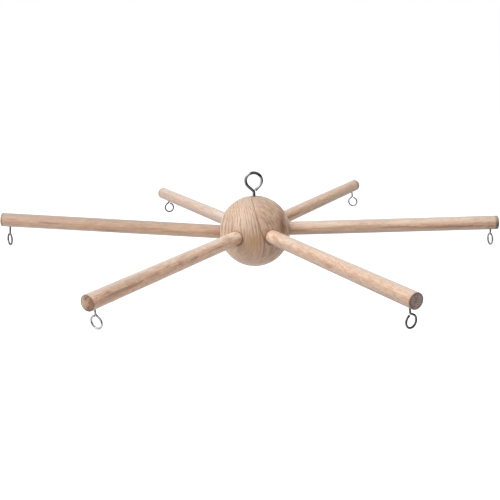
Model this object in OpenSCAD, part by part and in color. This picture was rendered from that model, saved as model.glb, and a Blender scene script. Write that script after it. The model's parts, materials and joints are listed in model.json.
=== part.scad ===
// Six-arm wooden hanging frame: a drilled ball, six push-in dowel arms, a closed screw eye on top
// and a small swan-necked screw eye under each arm tip.
// Millimetres, +Z up. The origin is where the frame hangs: the top of the hole in the top eye.

/* [Ball] */
// Diameter of the turned ball
ball_d = 52; // [46:0.5:64]
// Depth of each arm socket, along the arm
socket_depth = 15; // [12:0.5:16]
// Width of the chamfer round each socket's mouth
socket_chamfer = 0.6; // [0.2:0.1:1.2]

/* [Arms] */
// Diameter of each dowel
arm_d = 10; // [8:0.5:11]
// Distance from the ball's middle to an arm's tip, along the arm
arm_reach = 177; // [120:1:260]
// Width of the chamfer on both ends of a dowel
arm_chamfer = 0.3; // [0.2:0.1:1.2]
// Radial clearance of a dowel in its socket
socket_clearance = 0.05; // [0.02:0.01:0.1]
// Space left between a dowel's end and the bottom of its socket
socket_end_space = 0.5; // [0.2:0.1:2]

/* [Each arm as drilled and pushed in: right, back right, back left, left, front left, front right] */
// Rise of each arm above level, in degrees
arm_rise = [0.8, 0.9, -0.4, 4.2, -0.3, -0.5]; // [-6:0.1:6]
// Height of each socket's axis above the ball's centre, square to the arm
arm_lift = [1.2, 0.1, -0.4, -2.1, 0.6, 1.2]; // [-2.5:0.1:2.5]
// Turn of each arm about its own length, in degrees
arm_roll = [-3, -6, 2, 0, -1, 10]; // [-30:1:30]
// Length that each arm has beyond the common reach
arm_extra = [-0.5, 0.5, 1.5, 10, 0, 3.5]; // [-10:0.5:20]

/* [Top eye] */
// Diameter of the top eye's wire
top_wire_d = 2.2; // [1.6:0.1:3]
// Radius of the top ring, to the middle of its wire
top_ring_r = 5.8; // [5.2:0.1:7]
// Height of the top ring's centre above the point where its two sides meet
top_ring_rise = 7.9; // [7.4:0.1:9]
// Bend radius where the shank turns into the ring
top_bend_r = 2.2; // [1.2:0.1:3]
// Height of bare shank between the ball and the point where the ring's sides meet
top_bare = 3.5; // [2.5:0.1:8]
// Length of the top eye's shank inside the ball, with its point
top_grip = 17; // [10:0.5:18]
// Length of the top eye's gimlet point
top_point = 3; // [1:0.1:5]
// Space between the ring's cut end and the shank that it closes on
top_end_gap = 0.15; // [0.1:0.05:0.5]

/* [Tip eyes] */
// Diameter of the tip eyes' wire
tip_wire_d = 1.3; // [1:0.1:1.6]
// Radius of a tip ring, to the middle of its wire
tip_ring_r = 3.9; // [3.2:0.1:5]
// Bend radius of the swan neck
tip_bend_r = 1.2; // [0.8:0.1:1.6]
// How far the swan neck turns away from the shank, in degrees
tip_neck_turn = 56; // [48:1:62]
// Gap in the ring, as the angle from its top to the wire's cut end, in degrees
tip_ring_gap = 11; // [10:1:45]
// Length of a tip eye's shank, from the swan neck to its point
tip_shank = 9; // [7.5:0.1:9.5]
// Length of a tip eye's gimlet point
tip_point = 1.6; // [0.6:0.1:3]
// Radial clearance of both kinds of shank in their pilot holes
pilot_clearance = 0.04; // [0.02:0.01:0.08]
// Space left between a shank's point and the bottom of its pilot hole
pilot_end_space = 0.2; // [0.1:0.05:0.4]

/* [Each tip eye as screwed in: in the order of the arms] */
// Distance from each arm's tip to its eye
eye_inset = [4.9, 7.2, 13.9, 5.7, 5.6, 6.5]; // [2:0.1:20]
// Length of bare shank between each arm and the swan neck
eye_bare = [1.7, 3.6, 0.7, 4.4, 3, 4]; // [0.2:0.1:5]
// Turn of each eye about its shank from square across the arm, in degrees
eye_turn = [9, 6, -4, 39, 0, 7]; // [-90:1:90]
// Lean of each eye's hole towards the arm's tip, in degrees
eye_lean = [-0.5, -1, 6.5, -2.5, 4.5, 0]; // [-8:0.5:8]

/* [Hidden] */
$fn = 64;
PLACES = ["right", "back_right", "back_left", "left", "front_left", "front_right"];

arm_count = len(PLACES);
arm_step = 360 / arm_count;
ball_r = ball_d / 2;
arm_r = arm_d / 2;
socket_r = arm_r + socket_clearance;
socket_floor = ball_r - socket_depth;
arm_start = socket_floor + socket_end_space;
// How far out along each socket its wall meets the ball's surface, taken midway round the mouth
socket_mouth = [for (lift = arm_lift) sqrt(ball_r * ball_r - socket_r * socket_r - lift * lift)];

// Half the angle between the two sides of the top ring, and the length of each side
top_half_angle = asin(top_ring_r / top_ring_rise);
top_side = sqrt(top_ring_rise * top_ring_rise - top_ring_r * top_ring_r);
top_bend_cut = top_bend_r * tan(top_half_angle / 2);
// Where the cut end stops, measured from the point where the sides meet
top_end = (top_wire_d / 2 * (1 + abs(cos(2 * top_half_angle))) + top_end_gap) / sin(2 * top_half_angle);
meet_height = ball_r + top_bare;
// Height of the hanging point above the ball's centre
hang_height = meet_height + top_ring_rise + top_ring_r - top_wire_d / 2;

// The swan neck's straight run, which brings the ring's centre back under the shank
tip_run = (tip_ring_r * cos(tip_neck_turn) - tip_bend_r * (1 - cos(tip_neck_turn))) / sin(tip_neck_turn);
tip_ring_drop = tip_bend_r * sin(tip_neck_turn) + tip_run * cos(tip_neck_turn)
    + tip_ring_r * sin(tip_neck_turn);

// How far a cut goes past the surface that it opens, and the diameter that a gimlet point ends in
past = 2;
point_end_d = 0.2;
// Wire thins a hair where it is bent, and each straight run laps a hair into the bends it meets
bend_thinning = 0.03;
lap = 0.05;

oak = [0.80, 0.66, 0.53];
beech = [0.78, 0.66, 0.57];
plated = [0.72, 0.72, 0.73];

// Puts what is drawn along +X, with its start beside the ball's centre, along one arm
module along_arm(i) {
    translate([0, 0, -hang_height])
        rotate([0, -arm_rise[i], i * arm_step])
            translate([0, 0, arm_lift[i]])
                rotate([arm_roll[i], 0, 0])
                    children();
}

// Puts what is drawn about +Z, with the arm's underside at its origin, where one tip eye enters
module at_eye(i) {
    along_arm(i)
        translate([arm_reach + arm_extra[i] - eye_inset[i], 0, -arm_r])
            rotate([0, eye_lean[i], 0])
                children();
}

// A straight run of wire from the origin along +Y, with its laps into the bends at either end
module wire_run(wire_d, length, lap_before = lap, lap_after = lap) {
    translate([0, -lap_before, 0])
        rotate([-90, 0, 0])
            cylinder(d = wire_d, h = lap_before + length + lap_after);
}

// A bend about the origin, from one angle round to another
module wire_bend(wire_d, bend_r, from, to) {
    rotate([0, 0, from])
        rotate_extrude(angle = to - from)
            translate([bend_r, 0])
                circle(d = wire_d - bend_thinning);
}

// A screw eye's straight shank along +Y, ending in a gimlet point
module shank(wire_d, length, point) {
    wire_run(wire_d, length - point, lap_after = 0);
    translate([0, length - point, 0])
        rotate([-90, 0, 0])
            cylinder(d1 = wire_d, d2 = point_end_d, h = point);
}

// The hole along +Z that a shank is screwed into, open below the surface at z = 0
module pilot(wire_d, depth) {
    translate([0, 0, -past])
        cylinder(d = wire_d + 2 * pilot_clearance, h = depth + pilot_end_space + past);
}

module hub_ball() {
    color(oak)
    difference() {
        translate([0, 0, -hang_height])
            sphere(d = ball_d);
        for (i = [0 : arm_count - 1])
            along_arm(i) arm_socket(socket_mouth[i]);
        translate([0, 0, ball_r - hang_height])
            rotate([180, 0, 0])
                pilot(top_wire_d, top_grip);
    }
}

// A blind socket for one arm, with a chamfered mouth
module arm_socket(mouth) {
    rotate([0, 90, 0]) {
        translate([0, 0, socket_floor])
            cylinder(r = socket_r, h = socket_depth + past);
        translate([0, 0, mouth - socket_chamfer])
            cylinder(r1 = socket_r, r2 = socket_r + socket_chamfer + past, h = socket_chamfer + past);
    }
}

module arm(i) {
    color(beech)
    difference() {
        along_arm(i) dowel(arm_start, arm_reach + arm_extra[i]);
        at_eye(i) pilot(tip_wire_d, tip_shank - eye_bare[i]);
    }
}

// A round rod along +X with both ends chamfered
module dowel(from, to) {
    rotate([90, 0, 90])
        rotate_extrude()
            polygon([
                [0, from],
                [arm_r - arm_chamfer, from],
                [arm_r, from + arm_chamfer],
                [arm_r, to - arm_chamfer],
                [arm_r - arm_chamfer, to],
                [0, to]
            ]);
}

// One wire: the shank, the bend, up one side, round the ring and back down the other side
module top_eye() {
    side = top_side - top_bend_cut;
    color(plated)
    translate([0, 0, meet_height - hang_height])
        rotate([90, 0, 0]) {
            translate([0, -top_bend_cut, 0])
                mirror([0, 1, 0])
                    shank(top_wire_d, top_bare + top_grip - top_bend_cut, top_point);
            translate([-top_bend_r, -top_bend_cut, 0])
                wire_bend(top_wire_d, top_bend_r, 0, top_half_angle);
            rotate([0, 0, top_half_angle])
                translate([0, top_bend_cut, 0])
                    wire_run(top_wire_d, side);
            translate([0, top_ring_rise, 0])
                wire_bend(top_wire_d, top_ring_r, -top_half_angle, 180 + top_half_angle);
            rotate([0, 0, -top_half_angle])
                translate([0, top_end, 0])
                    wire_run(top_wire_d, top_side - top_end, lap_before = 0);
        }
}

module tip_eye(i) {
    color(plated)
    at_eye(i)
        translate([0, 0, -eye_bare[i]])
            rotate([90, 0, 90 + eye_turn[i]])
                swan_necked_eye();
}

// One wire: the shank, a swan neck to one side, and a ring that stops short of the neck
module swan_necked_eye() {
    shank(tip_wire_d, tip_shank, tip_point);
    translate([tip_bend_r, 0, 0]) {
        wire_bend(tip_wire_d, tip_bend_r, 180, 180 + tip_neck_turn);
        rotate([0, 0, tip_neck_turn - 180])
            translate([tip_bend_r, 0, 0])
                wire_run(tip_wire_d, tip_run);
    }
    translate([0, -tip_ring_drop, 0])
        wire_bend(tip_wire_d, tip_ring_r, tip_ring_gap - 270, tip_neck_turn);
}

hub_ball();
top_eye();
for (i = [0 : arm_count - 1]) {
    arm(i);
    tip_eye(i);
}
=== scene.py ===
import json
import math

import bpy
from mathutils import Matrix, Vector


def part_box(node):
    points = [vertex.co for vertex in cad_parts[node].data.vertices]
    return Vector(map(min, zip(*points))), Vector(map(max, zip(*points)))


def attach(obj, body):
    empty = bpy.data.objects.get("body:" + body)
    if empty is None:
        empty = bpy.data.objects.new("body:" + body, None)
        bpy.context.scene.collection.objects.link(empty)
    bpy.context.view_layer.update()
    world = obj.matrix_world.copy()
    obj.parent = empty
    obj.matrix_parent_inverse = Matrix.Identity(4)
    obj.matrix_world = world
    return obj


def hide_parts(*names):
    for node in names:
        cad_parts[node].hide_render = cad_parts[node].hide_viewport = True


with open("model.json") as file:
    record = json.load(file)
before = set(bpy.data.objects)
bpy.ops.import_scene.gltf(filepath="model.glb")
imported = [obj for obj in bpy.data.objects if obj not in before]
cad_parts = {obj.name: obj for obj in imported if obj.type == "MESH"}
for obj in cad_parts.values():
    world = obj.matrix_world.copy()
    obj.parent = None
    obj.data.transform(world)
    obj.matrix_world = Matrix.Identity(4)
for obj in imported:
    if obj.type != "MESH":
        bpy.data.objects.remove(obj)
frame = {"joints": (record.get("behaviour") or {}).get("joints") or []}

bpy.ops.object.select_all(action="DESELECT")
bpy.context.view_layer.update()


# ---- Camera -----------------------------------------------------------------------------------
# A normal lens just over half a metre in front of the hanging frame and a hand's breadth above it,
# tipped down a little, so that the two front arms come towards it.
camera_data = bpy.data.cameras.new("camera")
camera_data.lens = 55.27
camera_data.sensor_width = 36
camera_data.clip_start = 0.01
camera_data.clip_end = 50
camera = bpy.data.objects.new("camera", camera_data)
camera.location = (0.01539, -0.54727, 0.09764)
camera.rotation_euler = [math.radians(turn) for turn in (74.259, 1.319, 1.646)]
bpy.context.scene.collection.objects.link(camera)
bpy.context.scene.camera = camera


# ---- Studio -----------------------------------------------------------------------------------
# A pale floor far below the frame, a large soft lamp at the upper left and one overhead, and a room
# that is white wherever it is seen or reflected and a plain soft grey as a source of light. Two dark
# cards, at the right and low in front, show in reflections only and give bright metal its dark lines.
bpy.context.scene.view_settings.view_transform = "Standard"
lamp_size = 1.1
lamp_colour = (1.0, 0.99, 0.975)
lamp_aim = Vector((0, 0, -0.04))
floor_drop = 0.62
floor_size = 12
floor_glow = 0.9


def add_node(tree, kind, sockets=None, **settings):
    """Adds one shader node. A socket named in sockets is linked to an output or set to a value, and a
    colour is given without its alpha."""
    node = tree.nodes.new("ShaderNode" + kind)
    for name, value in settings.items():
        setattr(node, name, value)
    for socket, value in (sockets or {}).items():
        into = node.inputs[socket]
        if isinstance(value, bpy.types.NodeSocket):
            tree.links.new(value, into)
        else:
            into.default_value = (*value, 1) if into.type == "RGBA" else value
    return node


def maths(tree, operation, *values):
    """One step of arithmetic on outputs and numbers."""
    return add_node(tree, "Math", dict(enumerate(values)), operation=operation).outputs[0]


def seen_or_reflected(tree):
    """1 for rays from the camera and from reflections, 0 for rays that gather light."""
    ray = add_node(tree, "LightPath").outputs
    mirrored = maths(tree, "MAXIMUM", ray["Is Camera Ray"], ray["Is Glossy Ray"])
    return maths(tree, "MAXIMUM", mirrored, ray["Is Transmission Ray"])


def empty_material(name):
    """A new material with nothing in its node tree, and that tree."""
    material = bpy.data.materials.new(name)
    material.use_nodes = True
    material.node_tree.nodes.clear()
    return material, material.node_tree


room = bpy.data.worlds.new("white room")
room.use_nodes = True
tree = room.node_tree
tree.nodes.clear()
room_light = add_node(tree, "Background", {"Color": (1.0, 0.99, 0.98), "Strength": 0.7}).outputs[0]
room_white = add_node(tree, "Background", {"Color": (1, 1, 1), "Strength": 1.0}).outputs[0]
mixed = add_node(tree, "MixShader", {0: seen_or_reflected(tree), 1: room_light, 2: room_white})
add_node(tree, "OutputWorld", {"Surface": mixed.outputs[0]})
bpy.context.scene.world = room

for name, energy, place in (("side_lamp", 16, (-1.2, -0.6, 1.1)), ("top_lamp", 7.5, (0.05, 0.1, 1.75))):
    lamp_data = bpy.data.lights.new(name, "AREA")
    lamp_data.shape = "SQUARE"
    lamp_data.size = lamp_size
    lamp_data.energy = energy
    lamp_data.color = lamp_colour
    lamp = bpy.data.objects.new(name, lamp_data)
    lamp.location = place
    lamp.rotation_euler = (lamp_aim - lamp.location).to_track_quat("-Z", "Y").to_euler()
    bpy.context.scene.collection.objects.link(lamp)

bpy.ops.mesh.primitive_plane_add(size=floor_size, location=(0, 0, -floor_drop))
floor = bpy.context.active_object
floor.name = "floor"
floor_paint, tree = empty_material("floor paint")
matt = add_node(tree, "BsdfDiffuse", {"Color": (0.5, 0.495, 0.49)})
lift = maths(tree, "MULTIPLY", seen_or_reflected(tree), floor_glow)
glow = add_node(tree, "Emission", {"Color": (1, 1, 1), "Strength": lift})
painted = add_node(tree, "AddShader", {0: matt.outputs[0], 1: glow.outputs[0]})
add_node(tree, "OutputMaterial", {"Surface": painted.outputs[0]})
floor.data.materials.append(floor_paint)

card_paint, tree = empty_material("card paint")
black = add_node(tree, "Emission", {"Color": (0.03, 0.03, 0.03), "Strength": 1.0})
add_node(tree, "OutputMaterial", {"Surface": black.outputs[0]})
for name, width, place in (("right_card", 2.2, (1.25, -0.45, 0.1)), ("front_card", 1.5, (0.25, -1.2, -0.5))):
    bpy.ops.mesh.primitive_plane_add(size=width, location=place)
    card = bpy.context.active_object
    card.name = name
    card.rotation_euler = (-card.location).to_track_quat("Z", "Y").to_euler()
    card.visible_camera = False
    card.visible_diffuse = False
    card.visible_transmission = False
    card.visible_shadow = False
    card.data.materials.append(card_paint)


# ---- Hub ball ---------------------------------------------------------------------------------
# One ball turned from a solid block of pale open-grained hardwood and sanded, with no varnish.
# Six blind sockets are drilled round its middle, their mouths eased with a rounding cutter, and a
# pilot hole for the top eye is drilled straight down from the top.
millimetre = 0.001
ball_radius = 0.026
ball_centre = Vector((0, 0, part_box("hub_ball")[0].z + ball_radius))
ball_sides = 144
dowel_radius = 0.005
socket_clearance = 0.00005
socket_radius = dowel_radius + socket_clearance
socket_depth = 0.015
socket_floor = ball_radius - socket_depth
socket_sides = 72
mouth_round = 0.0006
mouth_steps = 5
mouth_flare = 1.05
buried_shank = 0.017
top_pilot_radius = 0.00114
top_pilot_sides = 32
pilot_spare = 0.0002
# A pilot drill's blunt point: its length and its end's width, as shares of the drill's radius
point_share = 0.6
blunt_share = 0.05
past_surface = 0.002
sliver = 0.00001
crisp_angle = math.radians(35)
places = ["right", "back_right", "back_left", "left", "front_left", "front_right"]
joints = {joint["name"]: joint for joint in frame["joints"]}


def arm_axes(place):
    """An arm's own axes: Z out along its middle, X up from its eye, origin level with the ball's centre."""
    out = Vector(joints[f"arm_{place}_pull"]["axis"]).normalized()
    side = out.cross(Vector(joints[f"eye_{place}_turn"]["axis"])).normalized()
    up = side.cross(out)
    middle = Vector(joints[f"eye_{place}_turn"]["pos_m"]) + up * dowel_radius
    start = middle + out * out.dot(ball_centre - middle)
    return Matrix.Translation(start) @ Matrix((up, side, out)).transposed().to_4x4()


def finish_mesh(piece, name):
    """Names a finished piece and puts its place into its mesh, with smooth faces and crisp edges."""
    bpy.ops.object.select_all(action="DESELECT")
    piece.select_set(True)
    bpy.context.view_layer.objects.active = piece
    bpy.ops.object.transform_apply(location=True, rotation=True, scale=True)
    bpy.ops.object.shade_smooth_by_angle(angle=crisp_angle)
    piece.name = name
    piece.data.name = name


def select_where(piece, test, mode):
    """Goes into edit mode with just the edges or faces selected whose place passes the test."""
    bpy.ops.object.mode_set(mode="EDIT")
    bpy.ops.mesh.select_mode(type=mode)
    bpy.ops.mesh.select_all(action="DESELECT")
    bpy.ops.object.mode_set(mode="OBJECT")
    mesh = piece.data
    if mode == "EDGE":
        for edge in mesh.edges:
            edge.select = all(test(mesh.vertices[i].co) for i in edge.vertices)
    else:
        for face in mesh.polygons:
            face.select = test(face.center)
    bpy.ops.object.mode_set(mode="EDIT")


def widen_and_push(distance, factor):
    """Extrudes the selected end along the tool's own length and scales it, as one step of a profile."""
    bpy.ops.mesh.extrude_region_move(TRANSFORM_OT_translate={"value": (0, 0, distance)})
    bpy.ops.transform.resize(value=(factor, factor, 1))


def rod_along_z(radius, low, high, sides):
    """A plain round rod on the Z axis, from one height to another."""
    bpy.ops.mesh.primitive_cylinder_add(vertices=sides, radius=radius, depth=high - low,
                                        location=(0, 0, (low + high) / 2))
    rod = bpy.context.active_object
    bpy.ops.object.transform_apply(location=True)
    return rod


def socket_cutter(beside):
    """A drill for one arm's socket, whose rounding arc touches the socket's wall at one end and the
    ball's surface at the other. The socket's axis passes beside the ball's centre."""
    arc_centre_out = socket_radius + mouth_round
    arc_centre_reach = ball_radius - mouth_round
    height = math.sqrt(arc_centre_reach ** 2 - arc_centre_out ** 2 - beside ** 2)
    sweep = math.pi / 2 - math.asin(arc_centre_out / arc_centre_reach)
    cutter = rod_along_z(socket_radius, socket_floor, height, socket_sides)
    select_where(cutter, lambda spot: spot.z > height - sliver, "FACE")
    reached, radius = height, socket_radius
    for step in range(1, mouth_steps + 1):
        swept = sweep * step / mouth_steps
        next_reached = height + mouth_round * math.sin(swept)
        next_radius = socket_radius + mouth_round * (1 - math.cos(swept))
        widen_and_push(next_reached - reached, next_radius / radius)
        reached, radius = next_reached, next_radius
    widen_and_push(past_surface, mouth_flare)
    bpy.ops.object.mode_set(mode="OBJECT")
    return cutter


def pilot_drill(radius, depth, sides):
    """A twist drill along Z: it enters at the origin, goes in by a depth and ends in a blunt point."""
    drill = rod_along_z(radius, -past_surface, depth, sides)
    select_where(drill, lambda spot: spot.z > depth - sliver, "FACE")
    widen_and_push(radius * point_share, blunt_share)
    bpy.ops.object.mode_set(mode="OBJECT")
    return drill


def drill_out(work, tool, tool_place):
    """Cuts the tool's shape out of the work at a place and takes the tool away."""
    tool.matrix_world = tool_place
    bpy.ops.object.select_all(action="DESELECT")
    bpy.context.view_layer.objects.active = work
    work.select_set(True)
    bpy.ops.object.modifier_add(type="BOOLEAN")
    cut = work.modifiers[-1]
    cut.operation = "DIFFERENCE"
    cut.solver = "EXACT"
    cut.object = tool
    bpy.ops.object.modifier_apply(modifier=cut.name)
    bpy.data.objects.remove(tool)


axes_of = {place: arm_axes(place) for place in places}
bpy.ops.mesh.primitive_uv_sphere_add(segments=ball_sides, ring_count=ball_sides // 2, radius=ball_radius,
                                     location=ball_centre)
ball = bpy.context.active_object
for place in places:
    beside = (axes_of[place].translation - ball_centre).length
    drill_out(ball, socket_cutter(beside), axes_of[place])
ball_top = ball_centre + Vector((0, 0, ball_radius))
downwards = Matrix.Translation(ball_top) @ Matrix.Rotation(math.pi, 4, "X")
top_pilot = pilot_drill(top_pilot_radius, buried_shank + pilot_spare, top_pilot_sides)
drill_out(ball, top_pilot, downwards)
finish_mesh(ball, "turned_ball")


def vector_maths(tree, operation, *values):
    """One step of arithmetic on places and directions. Lengths and dot products come out as numbers."""
    output = "Value" if operation in ("LENGTH", "DOT_PRODUCT") else "Vector"
    return add_node(tree, "VectorMath", dict(enumerate(values)), operation=operation).outputs[output]


def product(tree, *values):
    """Outputs and numbers multiplied together."""
    result = values[0]
    for value in values[1:]:
        result = maths(tree, "MULTIPLY", result, value)
    return result


def ramp(tree, value, low, high, to_low=0.0, to_high=1.0):
    """Carries a value smoothly from one pair of limits to another."""
    return add_node(tree, "MapRange", {0: value, 1: low, 2: high, 3: to_low, 4: to_high},
                    interpolation_type="SMOOTHSTEP").outputs[0]


def near(tree, value, middle, reach):
    """1 at a value's middle, falling smoothly to 0 at a distance to either side."""
    off = maths(tree, "ABSOLUTE", maths(tree, "SUBTRACT", value, middle))
    return ramp(tree, off, 0.0, reach, 1.0, 0.0)


def stretched(tree, position, scale, detail, roughness=0.5, distortion=0.0):
    """Noise drawn out along the three axes by a scale for each."""
    drawn = vector_maths(tree, "MULTIPLY", position, scale)
    return add_node(tree, "TexNoise", {"Vector": drawn, "Scale": 1.0, "Detail": detail,
                                       "Roughness": roughness, "Distortion": distortion}).outputs[0]


def tint(tree, colour, mask, shade, blend="MIX"):
    """Lays a shade over a colour where a mask is above 0."""
    mix = add_node(tree, "Mix", {0: mask, 6: colour, 7: shade}, data_type="RGBA", blend_type=blend)
    return mix.outputs[2]


def stained(tree, colour, stains):
    """Lays stains over a colour one after the other. Each has a mask, a strength and a shade."""
    for mask, strength, shade in stains:
        colour = tint(tree, colour, maths(tree, "MULTIPLY", mask, strength), shade)
    return colour


def begin_group(name, *numbers):
    """A new node group that is given a position in millimetres and any numbers named, and its inputs."""
    group = bpy.data.node_groups.new(name, "ShaderNodeTree")
    group.interface.new_socket("Position", in_out="INPUT", socket_type="NodeSocketVector")
    for number in numbers:
        group.interface.new_socket(number, in_out="INPUT", socket_type="NodeSocketFloat")
    return group, group.nodes.new("NodeGroupInput").outputs


def end_group(group, outputs):
    """Makes a node group's outputs, each named and linked to what it puts out."""
    for name in outputs:
        group.interface.new_socket(name, in_out="OUTPUT", socket_type="NodeSocketFloat")
    into = group.nodes.new("NodeGroupOutput").inputs
    for name, value in outputs.items():
        group.links.new(value, into[name])
    return group


def place_group(tree, group, **inputs):
    """Places a node group with its own values, and gives its outputs."""
    sockets = {name.replace("_", " ").title(): value for name, value in inputs.items()}
    return add_node(tree, "Group", sockets, node_tree=group).outputs


def wood_figure():
    """Node group: soft streaks, fine fibres, pores and flecks that run along Z."""
    tree, given = begin_group("wood figure")

    def drawn_out(across, along, detail, low, high):
        noise = stretched(tree, given["Position"], (across, across, along), detail, 0.55, 0.15)
        return ramp(tree, noise, low, high)

    return end_group(tree, {
        "Streaks": drawn_out(0.55, 0.022, 3.0, 0.3, 0.7),
        "Fibres": drawn_out(2.4, 0.06, 3.0, 0.25, 0.75),
        "Pores": drawn_out(4.2, 0.5, 1.0, 0.6, 0.74),
        "Flecks": drawn_out(1.1, 0.22, 2.0, 0.62, 0.76),
    })


wood_figure_group = wood_figure()


def growth_layers():
    """Node group: how far a position lies across the block's growth layers, which are upright sheets that
    draw together towards the top and bow inwards below the middle."""
    tree, given = begin_group("growth layers")
    axes = add_node(tree, "SeparateXYZ", {0: given["Position"]}).outputs
    wander = stretched(tree, given["Position"], (0.16, 0.16, 0.07), 3.0)
    sideways = maths(tree, "MULTIPLY_ADD", wander, 2.6, maths(tree, "SUBTRACT", axes["X"], 1.3))
    under = maths(tree, "MINIMUM", maths(tree, "ADD", axes["Z"], 6.0), 0.0)
    fanned = product(tree, under, ramp(tree, axes["X"], 8.0, -8.0, 0.0, -0.45))
    above = maths(tree, "MAXIMUM", maths(tree, "ADD", axes["Z"], 1.0), 0.0)
    drawn_in = product(tree, above, above, 0.000714)
    below = maths(tree, "MINIMUM", maths(tree, "ADD", axes["Z"], 4.0), 0.0)
    bowed_in = maths(tree, "MINIMUM", product(tree, below, below, 0.0018), 0.6)
    pulled = maths(tree, "MULTIPLY_ADD", bowed_in, 5.0, maths(tree, "ADD", sideways, fanned))
    pulled = maths(tree, "MULTIPLY_ADD", drawn_in, 12.0, pulled)
    left_over = maths(tree, "SUBTRACT", maths(tree, "SUBTRACT", 1.0, drawn_in), bowed_in)
    return end_group(tree, {"Across": maths(tree, "DIVIDE", pulled, left_over)})


def own_position(tree, origin, turn=(0, 0, 0)):
    """A position in millimetres on a piece's own axes."""
    spot = add_node(tree, "TexCoord").outputs["Object"]
    return add_node(tree, "Mapping", {"Vector": spot, "Location": origin, "Rotation": turn,
                                      "Scale": (millimetre, millimetre, millimetre)},
                    vector_type="TEXTURE").outputs[0]


def sanded(tree, colour, roughness, relief):
    """Bare sanded wood, its pores sunk and its fibres raised by a few hundredths of a millimetre."""
    bump = add_node(tree, "Bump", {"Height": relief, "Strength": 0.35, "Distance": 0.00012})
    wood = add_node(tree, "BsdfPrincipled", {"Base Color": colour, "Roughness": roughness,
                                             "Specular IOR Level": 0.75, "Normal": bump.outputs[0]})
    add_node(tree, "OutputMaterial", {"Surface": wood.outputs[0]})


def mouth_shading_and_wear(tree, position):
    """Darkening round the sockets' mouths, mostly low in front: partly painted contact shade, partly wood
    darkened by the drill.
    """
    mouth_darkening = 0.0
    for axes in axes_of.values():
        out = axes.to_3x3().col[2]
        low_front = Vector((0, -0.8, -0.6))
        low_front -= out * low_front.dot(out)
        beside = vector_maths(tree, "SUBTRACT", position, (axes.translation - ball_centre) / millimetre)
        off_axis = vector_maths(tree, "LENGTH", vector_maths(tree, "CROSS_PRODUCT", beside, out))
        way_out = vector_maths(tree, "DOT_PRODUCT", beside, out)
        low_side = vector_maths(tree, "DOT_PRODUCT", beside, low_front)
        mouth = product(tree, ramp(tree, off_axis, 5.2, 6.9, 1.0, 0.0), ramp(tree, way_out, 0.0, 5.0),
                        ramp(tree, low_side, -2.5, 3.0, 0.08, 1.0))
        mouth_darkening = maths(tree, "MAXIMUM", mouth_darkening, mouth)
    return mouth_darkening


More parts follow.
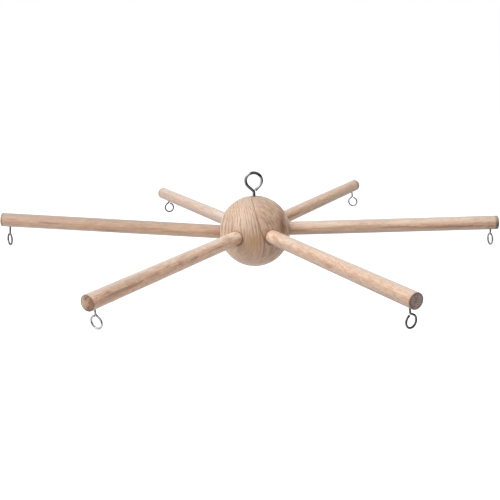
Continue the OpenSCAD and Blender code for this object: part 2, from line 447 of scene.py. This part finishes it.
def ball_wood():
    """The ball's wood. One strong dark line leans across the front, with the growth lines to the left of
    it and brown flecks and a smear to the right. It is golden low in the middle, and grey at both poles as
    painted shade of its top and bottom edges.
    Distances are in millimetres from the ball's centre."""
    wood, tree = empty_material("ball wood")
    position = own_position(tree, ball_centre)
    axes = add_node(tree, "SeparateXYZ", {0: position}).outputs
    x, z = axes["X"], axes["Z"]
    across = place_group(tree, growth_layers(), position=position)["Across"]
    grain = add_node(tree, "CombineXYZ", {0: across, 1: axes["Y"], 2: z}).outputs[0]
    figure = place_group(tree, wood_figure_group, position=grain)
    uneven = stretched(tree, grain, (0.42, 0.1, 0.05), 2.0)

    # The strong line leans to the left as it rises, and turns back to the left at the bottom.
    wavy = maths(tree, "MULTIPLY_ADD", stretched(tree, position, (0.15, 0.15, 0.15), 2.0), 1.8, -0.9)
    upper = maths(tree, "MAXIMUM", z, -2.0)
    lower = maths(tree, "MINIMUM", maths(tree, "ADD", z, 2.0), 0.0)
    leaning = product(tree, maths(tree, "MULTIPLY_ADD", upper, 0.0022, 0.27), upper)
    leaning = maths(tree, "MULTIPLY_ADD", product(tree, lower, lower), 0.011, leaning)
    past_line = maths(tree, "ADD", maths(tree, "ADD", x, leaning), maths(tree, "SUBTRACT", wavy, 6.9))
    strong_line = product(tree, near(tree, past_line, 0.0, 0.9), ramp(tree, z, -20.0, -4.0, 0.4, 1.0))
    second_line = product(tree, near(tree, maths(tree, "MULTIPLY_ADD", wavy, 0.5, x), -15.3, 0.8),
                          near(tree, z, 7.5, 10.0))

    # The growth lines fade to the right of the strong line and where the wood is golden.
    golden = product(tree, near(tree, x, -1.0, 12.0), ramp(tree, z, 6.0, 0.0), ramp(tree, z, -22.0, -10.0))
    strayed = maths(tree, "MULTIPLY_ADD", stretched(tree, grain, (0.35, 0.2, 0.09), 2.0), 3.2, across)
    part = maths(tree, "FRACT", maths(tree, "DIVIDE", strayed, 2.35))
    whole = maths(tree, "MAXIMUM", ramp(tree, z, -3.0, -9.0), ramp(tree, uneven, 0.36, 0.56, 0.2, 1.0))
    not_golden = maths(tree, "MULTIPLY_ADD", golden, -0.6, 1.0)
    lines = product(tree, ramp(tree, part, 0.3, 0.8), ramp(tree, part, 0.86, 1.0, 1.0, 0.0), whole,
                    ramp(tree, past_line, 0.0, 0.5, 1.0, 0.25), not_golden)
    thin_part = maths(tree, "FRACT", maths(tree, "DIVIDE", strayed, 1.1))
    thin_lines = product(tree, ramp(tree, thin_part, 0.4, 0.95), ramp(tree, uneven, 0.62, 0.42, 0.1, 1.0),
                         ramp(tree, past_line, 0.0, 0.5, 1.0, 0.0))

    # Patches, flecks and streaks of other colours.
    # Painted highlight: the upper part of the ball, left of the middle, is painted paler.
    upper_left_highlight = product(tree, near(tree, x, -8.0, 17.0), ramp(tree, z, 1.0, 9.0))
    blotches = product(tree, ramp(tree, stretched(tree, grain, (0.2, 0.2, 0.1), 2.0), 0.42, 0.6),
                       ramp(tree, past_line, 0.0, 0.5))
    flecks = product(tree, ramp(tree, stretched(tree, grain, (0.75, 0.4, 0.2), 3.0, 0.65), 0.46, 0.6),
                     ramp(tree, past_line, 1.5, 5.0))
    low_streaks = product(tree, ramp(tree, stretched(tree, grain, (0.75, 0.3, 0.08), 2.0), 0.48, 0.56),
                          ramp(tree, z, -3.0, -10.0))
    smear = product(tree, near(tree, maths(tree, "MULTIPLY_ADD", z, 0.12, x), 21.5, 3.6),
                    near(tree, z, 8.0, 17.0), ramp(tree, uneven, 0.35, 0.5, 0.45, 1.0))
    low_blush = product(tree, ramp(tree, z, 0.0, -12.0), ramp(tree, x, 14.0, 0.0))

    colour = tint(tree, (0.63, 0.42, 0.285), figure["Streaks"], (0.71, 0.5, 0.355))
    colour = stained(tree, colour, [
        (upper_left_highlight, 0.7, (0.74, 0.56, 0.43)),
        # Painted light: a pale rim along the ball's left edge.
        (ramp(tree, x, -18.0, -24.5), 0.6, (0.88, 0.7, 0.57)),
        (golden, 0.9, (0.6, 0.35, 0.175)),
        (near(tree, past_line, 2.3, 2.4), 0.6, (0.7, 0.46, 0.345)),
        (blotches, 0.6, (0.5, 0.29, 0.185)),
        (thin_lines, 0.35, (0.36, 0.22, 0.145)),
        (lines, 0.85, (0.34, 0.195, 0.11)),
        (figure["Fibres"], 0.25, (0.4, 0.25, 0.165)),
        (flecks, 0.6, (0.3, 0.165, 0.09)),
        (low_streaks, 0.75, (0.35, 0.18, 0.1)),
        (smear, 0.9, (0.23, 0.078, 0.036)),
        (strong_line, 0.8, (0.22, 0.115, 0.055)),
        (second_line, 0.7, (0.3, 0.17, 0.1)),
        (figure["Pores"], 0.45, (0.25, 0.145, 0.09)),
        (low_blush, 0.4, (0.82, 0.56, 0.43)),
        # Painted shade: grey at the bottom of the ball and, fainter, at its top.
        (ramp(tree, z, -20.0, -25.0), 0.6, (0.29, 0.26, 0.24)),
        (ramp(tree, z, 19.0, 26.0), 0.35, (0.42, 0.37, 0.31)),
        # Partly painted contact shade and partly wood darkened by the drill, round the socket mouths.
        (mouth_shading_and_wear(tree, position), 0.7, (0.2, 0.1, 0.06)),
    ])
    roughness = ramp(tree, figure["Streaks"], 0.0, 1.0, 0.5, 0.42)
    relief = maths(tree, "MULTIPLY_ADD", lines, -0.6, product(tree, figure["Pores"], -1.0))
    relief = maths(tree, "MULTIPLY_ADD", figure["Fibres"], 0.5, relief)
    relief = maths(tree, "MULTIPLY_ADD", strong_line, -1.0, relief)
    sanded(tree, colour, roughness, relief)
    return wood


ball.data.materials.clear()
ball.data.materials.append(ball_wood())
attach(ball, "hub")
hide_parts("hub_ball")


# ---- Arms -------------------------------------------------------------------------------------
# Six lengths of round hardwood dowel, pushed about a finger's width deep into the ball's sockets.
# Both ends are cut square and their rims eased, and a small pilot hole is drilled up into the
# underside near the outer end for the screw eye.
socket_end_space = 0.0005
dowel_start = socket_floor + socket_end_space
dowel_facets = 64
rim_round = 0.00045
rim_steps = 4
eye_inset = {"right": 0.0049, "back_right": 0.0072, "back_left": 0.0139, "left": 0.0057,
             "front_left": 0.0056, "front_right": 0.0065}
eye_bare = {"right": 0.0017, "back_right": 0.0036, "back_left": 0.0007, "left": 0.0044,
            "front_left": 0.003, "front_right": 0.004}
eye_shank = 0.009
eye_pilot_radius = 0.00069
eye_pilot_sides = 24
brown = (0.32, 0.155, 0.095)
red_brown = (0.47, 0.235, 0.15)
pink = (0.64, 0.36, 0.275)
olive = (0.45, 0.31, 0.175)
cream = (0.74, 0.55, 0.4)

# How each dowel looks: its pale and dark wood, what the wood is multiplied by above and below its
# middle (partly its own tone, partly a painted highlight above and painted shade below), where its
# figure starts, how mottled it is, the shades of its sawn end, and how strong and deep the painted shade
# near its tip is. Each smear has its height on the dowel, its distance out, how high and how long it is,
# its strength and its shade. All distances are in millimetres.
looks = {
    "right": dict(
        pale=(0.85, 0.57, 0.4), dark=(0.77, 0.49, 0.34),
        over=(0.91, 1.04, 1.14), under=(0.87, 0.95, 1.03),
        end_pale=(0.3, 0.22, 0.18), end_dark=(0.15, 0.1, 0.085),
        end_left=(0.3, 0.22, 0.18), end_right=(0.2, 0.15, 0.13),
        rim_strength=1.0, rim_depth=3.2, start=(14, 9, 0), mottling=0.2,
        smears=[
            (-0.4, 104, 0.9, 24, 0.55, brown), (-1.3, 142, 1.1, 36, 0.8, brown),
            (1.3, 137, 1.2, 13, 0.6, pink), (1.6, 161, 1.2, 8, 0.55, pink),
            (1.0, 66, 1.2, 13, 0.55, olive), (-1.0, 84, 1.5, 12, 0.5, pink),
            (-1.0, 30, 1.6, 9, 0.6, brown), (3.0, 52, 1.5, 22, 0.5, cream),
            (-2.0, 171, 1.1, 5, 0.75, brown), (2.2, 135, 2.0, 60, 0.5, (1, 0.72, 0.52)),
            (2.4, 48, 2.0, 30, 0.4, (1, 0.72, 0.52)), (-3.0, 44, 2.2, 28, 0.45, (0.42, 0.28, 0.19)),
        ]),
    "back_right": dict(
        pale=(0.74, 0.48, 0.28), dark=(0.66, 0.41, 0.23),
        over=(1.06, 1.11, 1.25), under=(0.77, 0.76, 0.725),
        end_pale=(0.32, 0.23, 0.18), end_dark=(0.16, 0.11, 0.085),
        end_left=(0.3, 0.22, 0.18), end_right=(0.25, 0.18, 0.15),
        rim_strength=0.8, rim_depth=6.0, start=(-11, 17, 300), mottling=0.4,
        smears=[
            (0.3, 47, 1.4, 20, 0.85, (0.34, 0.165, 0.085)), (1.8, 88, 1.2, 20, 0.5, pink),
            (-1.8, 95, 1.4, 30, 0.5, brown), (1.2, 140, 1.4, 22, 0.55, cream),
            (-2.2, 165, 1.4, 14, 0.7, (0.2, 0.13, 0.09)), (4.0, 120, 1.2, 60, 0.5, olive),
            (-2.0, 126, 1.8, 64, 0.45, (0.33, 0.24, 0.15)), (3.4, 110, 1.5, 60, 0.4, (0.95, 0.68, 0.44)),
            (0.4, 146, 2.6, 40, 0.5, (0.56, 0.38, 0.19)),
        ]),
    "back_left": dict(
        pale=(0.63, 0.5, 0.42), dark=(0.59, 0.44, 0.37),
        over=(1.09, 1.16, 1.18), under=(0.86, 0.82, 0.8),
        end_pale=(0.36, 0.25, 0.2), end_dark=(0.2, 0.13, 0.1),
        end_left=(0.3, 0.22, 0.18), end_right=(0.3, 0.2, 0.15),
        rim_strength=0.7, rim_depth=3.6, start=(21, -7, 600), mottling=0.12,
        smears=[
            (1.5, 175, 3.0, 8, 0.35, pink), (2.0, 150, 2.0, 14, 0.6, cream),
            (1.8, 128, 1.6, 16, 0.45, pink), (1.5, 102, 1.3, 9, 0.5, (0.66, 0.4, 0.25)),
            (1.5, 76, 1.6, 16, 0.5, cream), (-2.2, 112, 1.8, 60, 0.4, (0.36, 0.29, 0.25)),
            (2.2, 154, 1.8, 22, 0.45, (0.36, 0.26, 0.2)), (3.4, 46, 2.0, 24, 0.45, (0.72, 0.66, 0.62)),
        ]),
    "left": dict(
        pale=(0.8, 0.53, 0.36), dark=(0.71, 0.44, 0.3),
        over=(0.69, 0.72, 0.75), under=(1.09, 1.18, 1.31),
        end_pale=(0.32, 0.23, 0.18), end_dark=(0.16, 0.11, 0.085),
        end_left=(0.3, 0.22, 0.18), end_right=(0.25, 0.18, 0.15),
        rim_strength=0.65, rim_depth=2.0, start=(-17, -13, 900), mottling=0.3,
        smears=[
            (2.0, 179, 1.6, 8, 0.6, pink), (1.6, 179, 0.4, 4, 0.8, red_brown),
            (2.4, 158, 1.4, 10, 0.55, pink), (0.6, 152, 0.7, 10, 0.6, brown),
            (0.9, 118, 1.3, 12, 0.4, (0.62, 0.37, 0.22)), (-2.4, 105, 1.0, 16, 0.6, brown),
            (1.8, 86, 1.8, 14, 0.4, olive), (0.8, 70, 0.9, 13, 0.75, red_brown),
            (-0.6, 58, 0.9, 12, 0.6, brown), (0.4, 30, 2.6, 10, 0.75, (0.5, 0.24, 0.17)),
            (1.8, 52, 3.2, 34, 0.45, (1, 0.66, 0.43)),
        ]),
    "front_left": dict(
        pale=(0.96, 0.63, 0.44), dark=(0.86, 0.52, 0.35),
        over=(1.01, 1.07, 1.1), under=(0.97, 1.08, 1.18),
        end_pale=(0.66, 0.42, 0.28), end_dark=(0.26, 0.14, 0.09),
        end_left=(0.72, 0.55, 0.44), end_right=(0.36, 0.18, 0.095),
        rim_strength=0.6, rim_depth=0.9, start=(9, 19, 1200), mottling=0.5,
        smears=[
            (1.2, 150, 1.3, 22, 0.6, (0.4, 0.19, 0.11)), (3.0, 164, 1.0, 4, 0.6, brown),
            (1.6, 98, 1.3, 3.5, 0.55, brown), (1.0, 82, 1.2, 6, 0.6, brown),
            (1.0, 53, 1.3, 7, 0.6, red_brown), (2.8, 169, 1.3, 4, 0.6, pink),
            (2.2, 125, 1.6, 10, 0.5, pink), (-0.8, 108, 1.2, 7, 0.5, pink),
            (3.0, 140, 1.3, 8, 0.6, cream), (2.6, 88, 1.4, 9, 0.6, cream),
            # The first smear on the next line, high on the dowel near the ball, is a painted highlight.
            (3.2, 30, 2.6, 9, 0.95, (1, 0.78, 0.6)), (4.2, 150, 1.4, 28, 0.45, (0.44, 0.29, 0.2)),
            (4.4, 58, 1.4, 24, 0.45, (1, 0.85, 0.72)), (-0.3, 56, 1.3, 22, 0.4, (1, 0.76, 0.58)),
        ]),
    "front_right": dict(
        pale=(0.69, 0.53, 0.43), dark=(0.63, 0.46, 0.35),
        over=(1.155, 1.13, 1.09), under=(0.835, 0.855, 0.9),
        end_pale=(0.54, 0.39, 0.34), end_dark=(0.3, 0.21, 0.18),
        end_left=(0.34, 0.24, 0.2), end_right=(0.4, 0.32, 0.31),
        rim_strength=0.75, rim_depth=0.9, start=(-23, 6, 1500), mottling=0.6,
        smears=[
            (0.6, 66, 1.4, 7, 0.6, pink), (1.4, 84, 1.3, 6, 0.5, (0.6, 0.34, 0.2)),
            (1.2, 104, 1.4, 5, 0.85, (0.45, 0.22, 0.125)), (1.8, 130, 1.6, 8, 0.6, pink),
            (2.9, 142, 1.1, 5, 0.5, pink), (-0.6, 165, 1.2, 7, 0.45, olive),
            # The second smear on the next line, near the ball, is a painted highlight.
            (-2.4, 150, 1.5, 26, 0.45, (0.36, 0.25, 0.2)), (1.6, 30, 3.4, 11, 0.9, (0.95, 0.72, 0.56)),
            (3.6, 58, 1.6, 24, 0.4, (0.86, 0.8, 0.72)), (2.8, 152, 1.1, 24, 0.35, (0.45, 0.33, 0.26)),
        ]),
}


def growth_rings():
    """Node group: rings round Z, each growing dark towards its sharp outer side."""
    tree, given = begin_group("growth rings", "Ring Width", "Wander")
    radius = vector_maths(tree, "LENGTH", vector_maths(tree, "MULTIPLY", given["Position"], (1, 1, 0)))
    centred = maths(tree, "SUBTRACT", stretched(tree, given["Position"], (0.12, 0.12, 0.035), 2.0), 0.5)
    strayed = maths(tree, "MULTIPLY_ADD", centred, given["Wander"], radius)
    part = maths(tree, "FRACT", maths(tree, "DIVIDE", strayed, given["Ring Width"]))
    late_wood = product(tree, ramp(tree, part, 0.35, 0.9), ramp(tree, part, 0.93, 1.0, 1.0, 0.0))
    return end_group(tree, {"Late Wood": late_wood})


def smear_in_wood():
    """Node group: a ragged smear on a dowel. Height and Out say where its middle is, and High and Long
    how large it is."""
    tree, given = begin_group("smear in the wood", "Height", "Out", "High", "Long")
    axes = add_node(tree, "SeparateXYZ", {0: given["Position"]}).outputs
    above = maths(tree, "DIVIDE", maths(tree, "SUBTRACT", axes["X"], given["Height"]), given["High"])
    beyond = maths(tree, "DIVIDE", maths(tree, "SUBTRACT", axes["Z"], given["Out"]), given["Long"])
    far = vector_maths(tree, "LENGTH", add_node(tree, "CombineXYZ", {0: above, 2: beyond}).outputs[0])
    ragged = stretched(tree, given["Position"], (0.6, 0.6, 0.13), 3.0, 0.6)
    ragged = maths(tree, "MULTIPLY_ADD", ragged, 1.8, maths(tree, "SUBTRACT", far, 0.9))
    return end_group(tree, {"Smear": ramp(tree, ragged, 0.35, 1.05, 1.0, 0.0)})


def dowel_figure():
    """Node group: the patches, grain and mottling of a dowel's side, and the specks of its sawn end."""
    tree, given = begin_group("dowel figure")

    def patches(scale, detail, roughness, low, high):
        return ramp(tree, stretched(tree, given["Position"], scale, detail, roughness), low, high)

    return end_group(tree, {
        "Pink": patches((0.3, 0.3, 0.07), 2.0, 0.6, 0.45, 0.65),
        "Pale": patches((0.35, 0.35, 0.06), 2.0, 0.6, 0.52, 0.34),
        "Dark Grain": patches((0.95, 0.95, 0.13), 2.0, 0.6, 0.5, 0.68),
        "Pale Grain": patches((0.95, 0.95, 0.13), 2.0, 0.6, 0.48, 0.32),
        "Mottling": patches((0.55, 0.55, 0.2), 3.0, 0.65, 0.5, 0.62),
        "Blotches": patches((0.4, 0.4, 0.4), 3.0, 0.65, 0.42, 0.58),
        "Specks": patches((2.6, 2.6, 2.6), 1.0, 0.5, 0.5, 0.7),
    })


def dowel_sides():
    """Node group: a dowel's upper and lower side, the painted grey sheen along its top and bottom edges, the
    painted shade near its tip and round the edge of its sawn end, and the two halves of its sawn end. X is
    up, Z is out along the dowel, and Y is to the left of its end."""
    tree, given = begin_group("dowel sides", "Tip", "Rim Depth", "Rim Strength")
    axes = add_node(tree, "SeparateXYZ", {0: given["Position"]}).outputs
    up, left, out = axes["X"], axes["Y"], axes["Z"]
    before_tip = maths(tree, "SUBTRACT", given["Tip"], out)
    off_axis = vector_maths(tree, "LENGTH", vector_maths(tree, "MULTIPLY", given["Position"], (1, 1, 0)))
    sheen_edges = maths(tree, "MAXIMUM", ramp(tree, up, 4.3, 4.95), ramp(tree, up, -2.8, -4.8))
    rim = ramp(tree, before_tip, given["Rim Depth"], maths(tree, "MULTIPLY", given["Rim Depth"], 0.5))
    return end_group(tree, {
        "Over": ramp(tree, up, 0.5, 4.2),
        "Under": ramp(tree, up, 0.0, -4.0),
        "Edge Sheen": product(tree, sheen_edges, ramp(tree, out, 28.0, 60.0, 0.0, 0.5)),
        "Tip Shade": product(tree, rim, ramp(tree, up, 4.0, -2.5, 0.5, 1.0), given["Rim Strength"]),
        "Sawn": ramp(tree, before_tip, 0.1, 0.02),
        "Sawn Left": ramp(tree, left, 0.0, 4.5),
        "Sawn Right": ramp(tree, left, 0.5, -3.2),
        "Sawn Edge Shade": product(tree, ramp(tree, off_axis, 3.7, 4.7), given["Rim Strength"]),
    })


growth_rings_group = growth_rings()
smear_group = smear_in_wood()
dowel_figure_group = dowel_figure()
dowel_sides_group = dowel_sides()


def dowel_wood(place, tip, look):
    """One dowel's wood: its side with streaks and smears, its sawn end, and the painted shadow round its
    eye.
    """
    wood, tree = empty_material(f"dowel wood {place}")
    position = own_position(tree, axes_of[place].translation, axes_of[place].to_euler())
    moved = vector_maths(tree, "ADD", position, look["start"])
    figure = place_group(tree, wood_figure_group, position=moved)
    patches = place_group(tree, dowel_figure_group, position=moved)
    rings = place_group(tree, growth_rings_group, position=moved, ring_width=1.3, wander=3.0)["Late Wood"]
    sides = place_group(tree, dowel_sides_group, position=position, tip=tip, rim_depth=look["rim_depth"],
                        rim_strength=look["rim_strength"])

    colour = tint(tree, look["pale"], figure["Streaks"], look["dark"])
    colour = stained(tree, colour, [
        (patches["Pink"], 0.5, (0.61, 0.365, 0.275)),
        (patches["Pale"], 0.4, (0.7, 0.52, 0.38)),
        (rings, 0.25, (0.44, 0.27, 0.18)),
        (patches["Dark Grain"], 0.4, (0.44, 0.27, 0.185)),
        (patches["Pale Grain"], 0.35, (0.8, 0.61, 0.47)),
    ])
    for height, out, high, long, strength, shade in look["smears"]:
        smear = place_group(tree, smear_group, position=position, height=height, out=out, high=high,
                            long=long)
        colour = stained(tree, colour, [(smear["Smear"], strength, shade)])
    colour = stained(tree, colour, [
        (patches["Mottling"], look["mottling"], (0.5, 0.27, 0.16)),
        (figure["Fibres"], 0.3, (0.42, 0.27, 0.19)),
        (figure["Flecks"], 0.45, (0.34, 0.19, 0.12)),
        (figure["Pores"], 0.4, (0.28, 0.165, 0.11)),
        # The next stain is a painted grey sheen along the top and bottom edges.
        (sides["Edge Sheen"], 1.0, (0.47, 0.43, 0.39)),
    ])
    # Painted light: these multipliers paint part of a highlight above the middle and shade below it, along
    # with each dowel's own tone.
    colour = tint(tree, colour, sides["Under"], look["under"], "MULTIPLY")
    colour = tint(tree, colour, sides["Over"], look["over"], "MULTIPLY")
    end_colour = tint(tree, look["end_pale"], patches["Blotches"], look["end_dark"])
    end_colour = stained(tree, end_colour, [
        (sides["Sawn Left"], 1.0, look["end_left"]),
        (sides["Sawn Right"], 0.85, look["end_right"]),
        (rings, 0.4, (0.1, 0.06, 0.045)),
        (patches["Specks"], 0.5, (0.05, 0.035, 0.03)),
        # Painted shade round the edge of the sawn end.
        (sides["Sawn Edge Shade"], 0.9, (0.09, 0.07, 0.065)),
    ])
    eye_out = tip - eye_inset[place] / millimetre
    eye_shadow = place_group(tree, smear_group, position=position, height=-5.2, out=eye_out, high=2.4,
                           long=2.8)
    # Painted shade near the tip, stronger underneath, and the painted shadow of the eye on the underside.
    colour = stained(tree, colour, [
        (sides["Tip Shade"], 1.0, (0.085, 0.072, 0.065)),
        (eye_shadow["Smear"], 0.8, (0.09, 0.075, 0.065)),
        (sides["Sawn"], 1.0, end_colour),
    ])
    roughness = maths(tree, "MAXIMUM", ramp(tree, figure["Streaks"], 0.0, 1.0, 0.5, 0.42),
                      product(tree, sides["Sawn"], 0.8))
    relief = maths(tree, "MULTIPLY_ADD", figure["Pores"], -1.0, product(tree, figure["Fibres"], 0.6))
    relief = maths(tree, "MULTIPLY_ADD", product(tree, patches["Specks"], sides["Sawn"]), -1.0, relief)
    sanded(tree, colour, roughness, relief)
    return wood


for place in places:
    axes = axes_of[place]
    eye_spot = axes.inverted() @ Vector(joints[f"eye_{place}_turn"]["pos_m"])
    eye_way = axes.to_3x3().inverted() @ Vector(joints[f"eye_{place}_turn"]["axis"])
    dowel_end = eye_spot.z + eye_inset[place]
    dowel = rod_along_z(dowel_radius, dowel_start, dowel_end, dowel_facets)
    for end in (dowel_end, dowel_start):
        select_where(dowel, lambda spot: abs(spot.z - end) < sliver, "EDGE")
        bpy.ops.mesh.bevel(offset=rim_round, segments=rim_steps, profile=0.5)
    bpy.ops.object.mode_set(mode="OBJECT")
    drill = pilot_drill(eye_pilot_radius, eye_shank - eye_bare[place] + pilot_spare, eye_pilot_sides)
    drill_turn = eye_way.to_track_quat("Z", "Y").to_matrix().to_4x4()
    drill_out(dowel, drill, Matrix.Translation(eye_spot) @ drill_turn)
    dowel.matrix_world = axes
    finish_mesh(dowel, f"dowel_{place}")
    dowel.data.materials.clear()
    dowel.data.materials.append(dowel_wood(place, dowel_end / millimetre, looks[place]))
    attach(dowel, f"arm_{place}")
    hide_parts(f"arm_{place}")


# ---- Top eye ----------------------------------------------------------------------------------
# One length of bright plated steel wire: a straight shank screwed down into the ball, a bend out
# to the left, a round ring closed by hand, and a cut end that stops against the shank.
wire_radius = 0.00108
ring_radius = 0.0058
ring_rise = 0.0079
bend_radius = 0.0022
bare_shank = 0.0035
point_length = 0.003
# How narrow the gimlet point ends, as a share of the wire
point_narrow = 0.1
end_gap = 0.00015
cut_ease = 0.0002
ease_steps = 3
wire_sides = 24
bend_steps = 6
ring_steps = 48
meet = ball_top + Vector((0, 0, bare_shank))
half_angle = math.asin(ring_radius / ring_rise)
bend_cut = bend_radius * math.tan(half_angle / 2)
ring_side = math.sqrt(ring_rise ** 2 - ring_radius ** 2)
end_stop = (wire_radius * (1 + abs(math.cos(2 * half_angle))) + end_gap) / math.sin(2 * half_angle)


def draw_wire(way):
    """Draws the wire's end out along a straight line."""
    bpy.ops.mesh.extrude_region_move(TRANSFORM_OT_translate={"value": way})


def bend_wire(centre, turn, steps):
    """Bends the wire on from its end, round a centre in the plane of the ring."""
    bpy.ops.mesh.spin(steps=steps, angle=turn, center=centre, axis=(0, 1, 0))


def begin_wire(radius, sides, at, point, narrow):
    """Lays a narrow ring flat at a place and draws it along Z into a gimlet point, up to the wire's full
    width. The wire stays in edit mode, ready to be drawn on."""
    bpy.ops.mesh.primitive_circle_add(vertices=sides, radius=radius * narrow, fill_type="NGON", location=at)
    wire = bpy.context.active_object
    bpy.ops.object.transform_apply(location=True)
    bpy.ops.object.mode_set(mode="EDIT")
    bpy.ops.mesh.select_mode(type="FACE")
    bpy.ops.mesh.select_all(action="SELECT")
    draw_wire((0, 0, point))
    bpy.ops.transform.resize(value=(1 / narrow, 1 / narrow, 1))
    return wire


def end_wire(way, radius, ease):
    """Files the cut end's rim round, turns every face outwards and leaves edit mode."""
    reached, width = 0.0, radius
    for step in range(1, ease_steps + 1):
        swept = math.pi / 2 * step / ease_steps
        next_reached = ease * math.sin(swept)
        next_width = radius - ease * (1 - math.cos(swept))
        draw_wire(way * (next_reached - reached))
        bpy.ops.transform.resize(value=(next_width / width,) * 3)
        reached, width = next_reached, next_width
    bpy.ops.mesh.select_all(action="SELECT")
    bpy.ops.mesh.normals_make_consistent(inside=False)
    bpy.ops.object.mode_set(mode="OBJECT")


shank_end = ball_top - Vector((0, 0, buried_shank))
top_eye = begin_wire(wire_radius, wire_sides, shank_end, point_length, point_narrow)
draw_wire((0, 0, bare_shank + buried_shank - point_length - bend_cut))
bend_wire(meet + Vector((-bend_radius, 0, -bend_cut)), half_angle, bend_steps)
draw_wire(Vector((-math.sin(half_angle), 0, math.cos(half_angle))) * (ring_side - bend_cut))
bend_wire(meet + Vector((0, 0, ring_rise)), -math.pi - 2 * half_angle, ring_steps)
down = Vector((-math.sin(half_angle), 0, -math.cos(half_angle)))
draw_wire(down * (ring_side - end_stop - cut_ease))
end_wire(down, wire_radius, cut_ease)
finish_mesh(top_eye, "top_screw_eye")


def wire_plating():
    """Node group: cloudy haze, how dull it leaves the plating, and the fine marks left by drawing."""
    tree, given = begin_group("wire plating")
    haze = stretched(tree, given["Position"], (0.9, 0.9, 0.9), 3.0)
    return end_group(tree, {
        "Haze": ramp(tree, haze, 0.35, 0.65),
        "Dullness": ramp(tree, haze, 0.3, 0.7, 0.22, 0.36),
        "Drawn Marks": stretched(tree, given["Position"], (3.5, 3.5, 3.5), 2.0),
    })


wire_plating_group = wire_plating()


def top_eye_reflections(tree, position):
    """Painted reflections on the top eye: its right and its upper left are painted bright and its crown
    dark. Distances are in millimetres from where the frame hangs."""
    axes = add_node(tree, "SeparateXYZ", {0: position}).outputs
    x, z = axes["X"], axes["Z"]
    upper_left = product(tree, ramp(tree, x, -0.5, -3.0), ramp(tree, z, -6.0, -1.0, 0.0, 0.55))
    bright = maths(tree, "MAXIMUM", ramp(tree, x, 0.5, 4.0), upper_left)
    crown = product(tree, ramp(tree, z, -3.0, -1.0), ramp(tree, x, -3.5, -1.0))
    return [(bright, 1.0, (0.46, 0.46, 0.46)), (crown, 1.0, (0.07, 0.07, 0.075))]


def wire_metal(name, pale, hazy, marks=None):
    """Drawn and plated steel wire, hazy in places, with any painted reflections of its own laid over the
    plating.
    """
    metal, tree = empty_material(name)
    position = own_position(tree, (0, 0, 0))
    plating = place_group(tree, wire_plating_group, position=position)
    shade = tint(tree, pale, plating["Haze"], hazy)
    # The marks, where given, are painted reflections laid over the plating's colour.
    if marks:
        shade = stained(tree, shade, marks(tree, position))
    scuffs = add_node(tree, "Bump", {"Height": plating["Drawn Marks"], "Strength": 0.2,
                                     "Distance": 0.00003})
    plate = add_node(tree, "BsdfPrincipled", {"Base Color": shade, "Metallic": 1.0,
                                              "Roughness": plating["Dullness"], "Normal": scuffs.outputs[0],
                                              "Specular Tint": (0.35, 0.35, 0.36)})
    add_node(tree, "OutputMaterial", {"Surface": plate.outputs[0]})
    return metal


top_plating = wire_metal("plated wire", (0.25, 0.25, 0.26), (0.15, 0.15, 0.16), top_eye_reflections)
top_eye.data.materials.append(top_plating)
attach(top_eye, "top_eye")
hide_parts("top_eye")


# ---- Tip eyes ---------------------------------------------------------------------------------
# Six small screw eyes bent from thinner wire, one up into the underside of each arm near its tip:
# a shank, a swan neck to one side, and a ring that comes back under the shank and stays a little open.
thin_radius = 0.000635
small_ring = 0.0039
neck_radius = 0.0012
neck_turn = math.radians(56)
ring_gap = math.radians(11)
small_point = 0.0016
small_point_narrow = 0.15
small_cut_ease = 0.00015
thin_wire_sides = 20
small_ring_steps = 44
neck_in = small_ring * math.cos(neck_turn) - neck_radius * (1 - math.cos(neck_turn))
neck_run = neck_in / math.sin(neck_turn)
ring_drop = (neck_radius + small_ring) * math.sin(neck_turn) + neck_run * math.cos(neck_turn)
# The wire's heading at its cut end, as a turn from straight down, and the bend that brings it there
cut_angle = math.pi / 2 + ring_gap + small_cut_ease / small_ring
ring_turn = cut_angle - neck_turn - 2 * math.pi
eye_turn = {"right": 9, "back_right": 6, "back_left": -4, "left": 39, "front_left": 0, "front_right": 7}
# The plating of each eye, clear and hazy, each eye painted lighter or darker to stand for what it reflects.
# On the right-hand eyes it is the same all over.
plating_and_reflection_of = {
    "right": ((0.26, 0.26, 0.265), (0.26, 0.26, 0.265)),
    "back_right": ((0.22, 0.22, 0.23), (0.22, 0.22, 0.23)),
    "back_left": ((0.17, 0.17, 0.175), (0.08, 0.08, 0.085)),
    "left": ((0.17, 0.17, 0.175), (0.08, 0.08, 0.085)),
    "front_left": ((0.5, 0.5, 0.505), (0.3, 0.3, 0.305)),
    "front_right": ((0.11, 0.11, 0.115), (0.11, 0.11, 0.115)),
}

pattern = begin_wire(thin_radius, thin_wire_sides, (0, 0, eye_shank), -small_point, small_point_narrow)
draw_wire((0, 0, small_point - eye_shank))
bend_wire((neck_radius, 0, 0), neck_turn, bend_steps)
draw_wire(Vector((math.sin(neck_turn), 0, -math.cos(neck_turn))) * neck_run)
bend_wire((0, 0, -ring_drop), ring_turn, small_ring_steps)
end_wire(Vector((math.sin(cut_angle), 0, -math.cos(cut_angle))), thin_radius, small_cut_ease)

for place in places:
    eye = pattern.copy()
    eye.data = pattern.data.copy()
    bpy.context.scene.collection.objects.link(eye)
    up = Vector(joints[f"eye_{place}_turn"]["axis"]).normalized()
    across = up.cross(Vector(joints[f"arm_{place}_pull"]["axis"])).normalized()
    seat = Matrix((across.cross(up), across, up)).transposed().to_4x4()
    eye.matrix_world = (Matrix.Translation(Vector(joints[f"eye_{place}_turn"]["pos_m"])) @ seat
                        @ Matrix.Translation((0, 0, -eye_bare[place]))
                        @ Matrix.Rotation(math.radians(90 + eye_turn[place]), 4, "Z"))
    finish_mesh(eye, f"screw_eye_{place}")
    eye.data.materials.append(wire_metal(f"thin plated wire {place}", *plating_and_reflection_of[place]))
    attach(eye, f"eye_{place}")
    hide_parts(f"eye_{place}")
bpy.data.objects.remove(pattern)
